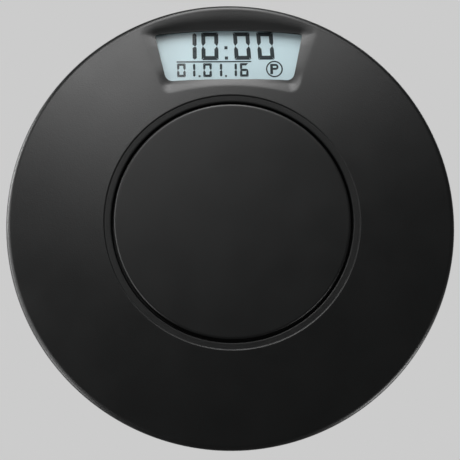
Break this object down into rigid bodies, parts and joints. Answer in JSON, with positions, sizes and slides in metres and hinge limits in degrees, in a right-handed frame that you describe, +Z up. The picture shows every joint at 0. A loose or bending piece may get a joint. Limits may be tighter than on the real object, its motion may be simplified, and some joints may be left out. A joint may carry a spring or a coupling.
{
  "type": "electronic parking disc",
  "caption": "Round electronic parking disc with a segment display, on a windscreen plate that it twists on to and off.",
  "frame": {"origin": "centre of the mount plate's windscreen face", "axes": "+Z up and +X right as the front is seen from outside the windscreen, the front faces -Y and the depth runs along +Y into the car"},
  "size_m": [0.1, 0.0158, 0.1],
  "materials": {
    "black_abs": "injection-moulded black ABS with a fine satin texture",
    "black_rubber": "matt black elastomer",
    "clear_plastic": "clear acrylic window, gloss",
    "display_glass": "thin display glass",
    "display_film": "grey display film",
    "board_laminate": "green solder mask on glass laminate",
    "chip_epoxy": "moulded black epoxy",
    "nickel": "nickel-plated spring sheet",
    "cell_can": "satin nickel-plated steel can",
    "zinc_steel": "zinc-plated steel"
  },
  "bodies": {
    "mount": {"mount_plate": "black_abs"},
    "housing": {"front_cover": "black_abs", "rear_cover": "black_abs", "window_lens": "clear_plastic", "window_gasket": "black_rubber", "display_polariser": "display_film", "display_glass": "display_glass", "display_reflector": "display_film", "contact_strip": "black_rubber", "display_holder": "black_abs", "circuit_board": "board_laminate", "controller_chip": "chip_epoxy", "motion_sensor": "chip_epoxy", "clock_crystal": "zinc_steel", "reservoir_capacitor": "chip_epoxy", "switch_body_left": "chip_epoxy", "switch_body_right": "chip_epoxy", "coin_cell": "cell_can", "negative_contact": "nickel", "positive_contact": "nickel", "cover_seal": "black_rubber", "case_screw_1": "zinc_steel", "case_screw_2": "zinc_steel", "case_screw_3": "zinc_steel", "case_screw_4": "zinc_steel", "board_screw_1": "zinc_steel", "board_screw_2": "zinc_steel", "board_screw_3": "zinc_steel"},
    "battery_cover": {"battery_cover": "black_abs"},
    "left_button": {"set_button_left": "black_rubber", "switch_plunger_left": "chip_epoxy"},
    "right_button": {"set_button_right": "black_rubber", "switch_plunger_right": "chip_epoxy"}
  },
  "joints": [
    {"name": "mount_twist", "type": "hinge", "parent": "mount", "child": "housing", "pos_m": [0, 0.003, 0], "axis": [0, 1, 0], "range_deg": [0, 45]},
    {"name": "cover_twist", "type": "hinge", "parent": "housing", "child": "battery_cover", "pos_m": [0, 0.0146, 0], "axis": [0, 1, 0], "range_deg": [0, 40]},
    {"name": "left_button_press", "type": "slide", "parent": "housing", "child": "left_button", "axis": [0, -1, 0], "range_m": [0, 0.0005], "stiffness_N_per_m": 600},
    {"name": "right_button_press", "type": "slide", "parent": "housing", "child": "right_button", "axis": [0, -1, 0], "range_m": [0, 0.0005], "stiffness_N_per_m": 600}
  ]
}
